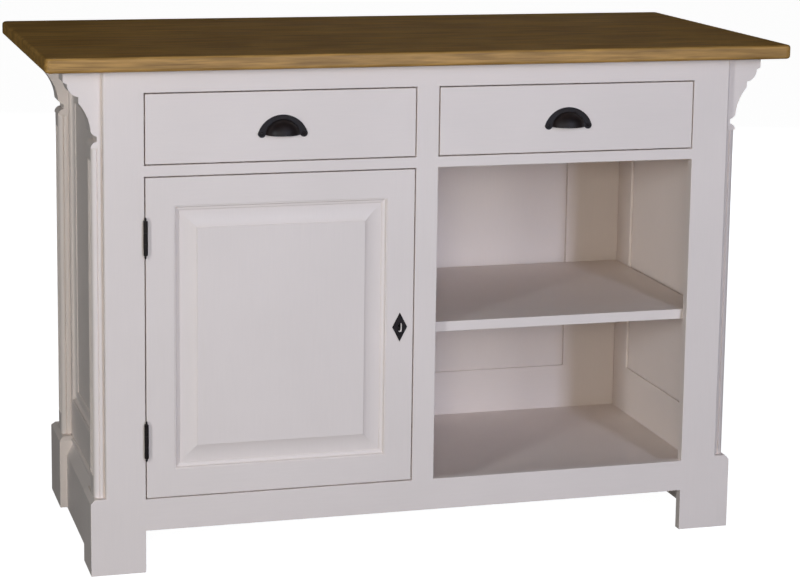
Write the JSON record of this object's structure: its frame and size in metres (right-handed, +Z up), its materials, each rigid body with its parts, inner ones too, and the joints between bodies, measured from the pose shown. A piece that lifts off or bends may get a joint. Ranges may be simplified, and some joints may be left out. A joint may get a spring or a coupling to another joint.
{
  "type": "kitchen island unit",
  "caption": "Freestanding painted kitchen island with a stained wooden worktop, drawers with cup pulls, a raised-panel cupboard door, an open shelved bay, fluted pilasters and corbels",
  "frame": {"origin": "On the floor, under the middle of the worktop, which is the middle of the bounding box's underside", "axes": "+X to the right of a person who stands at the drawers, the front faces -Y, +Z up"},
  "size_m": [1.33, 0.638, 0.9],
  "materials": {
    "stained_wood": "stained and waxed oak, satin",
    "painted_wood": "off-white eggshell paint on timber",
    "bare_wood": "bare sanded pine",
    "black_metal": "black, satin",
    "plain_steel": "plain steel"
  },
  "bodies": {
    "carcass": {"worktop": "stained_wood", "face_stile_left": "painted_wood", "face_stile_right": "painted_wood", "face_stile_centre": "painted_wood", "face_rail_top": "painted_wood", "face_rails_middle": "painted_wood", "face_rail_bottom": "painted_wood", "side_left_stiles": "painted_wood", "side_left_rails": "painted_wood", "side_left_panel": "painted_wood", "side_left_moulding": "painted_wood", "side_right_stiles": "painted_wood", "side_right_rails": "painted_wood", "side_right_panel": "painted_wood", "side_right_moulding": "painted_wood", "plinth_rail_left": "painted_wood", "plinth_rail_right": "painted_wood", "plinth_rail_back": "painted_wood", "plinth_block_front_left": "painted_wood", "plinth_block_front_right": "painted_wood", "plinth_block_rear_left": "painted_wood", "plinth_block_rear_right": "painted_wood", "pilaster_front_left": "painted_wood", "pilaster_front_right": "painted_wood", "pilaster_rear_left": "painted_wood", "pilaster_rear_right": "painted_wood", "corbel_front_left": "painted_wood", "corbel_front_right": "painted_wood", "corbel_rear_left": "painted_wood", "corbel_rear_right": "painted_wood", "back_stiles": "painted_wood", "back_rails": "painted_wood", "back_panels": "painted_wood", "floor_board": "painted_wood", "partition": "painted_wood", "drawer_runners": "bare_wood", "drawer_kickers": "bare_wood", "shelf_open_bay": "painted_wood", "shelf_cupboard": "painted_wood", "shelf_pins": "plain_steel", "hinge_leaves_frame": "black_metal", "hinge_pins": "black_metal"},
    "door": {"door_stiles": "painted_wood", "door_rails": "painted_wood", "door_panel": "painted_wood", "door_moulding": "painted_wood", "hinge_leaves_door": "black_metal", "escutcheon": "black_metal", "lock_case": "plain_steel"},
    "lock_bolt": {"lock_bolt": "plain_steel"},
    "drawer_left": {"drawer_left_front": "painted_wood", "drawer_left_sides": "bare_wood", "drawer_left_back": "bare_wood", "drawer_left_bottom": "bare_wood", "drawer_left_pull": "black_metal"},
    "drawer_right": {"drawer_right_front": "painted_wood", "drawer_right_sides": "bare_wood", "drawer_right_back": "bare_wood", "drawer_right_bottom": "bare_wood", "drawer_right_pull": "black_metal"}
  },
  "joints": [
    {"name": "door_hinge", "type": "hinge", "parent": "carcass", "child": "door", "pos_m": [-0.495, -0.2819, 0.412], "axis": [0, 0, -1], "range_deg": [0, 170]},
    {"name": "lock_bolt_slide", "type": "slide", "parent": "door", "child": "lock_bolt", "axis": [1, 0, 0], "range_m": [0, 0.008]},
    {"name": "drawer_left_slide", "type": "slide", "parent": "carcass", "child": "drawer_left", "axis": [0, -1, 0], "range_m": [0, 0.38]},
    {"name": "drawer_right_slide", "type": "slide", "parent": "carcass", "child": "drawer_right", "axis": [0, -1, 0], "range_m": [0, 0.38]}
  ]
}
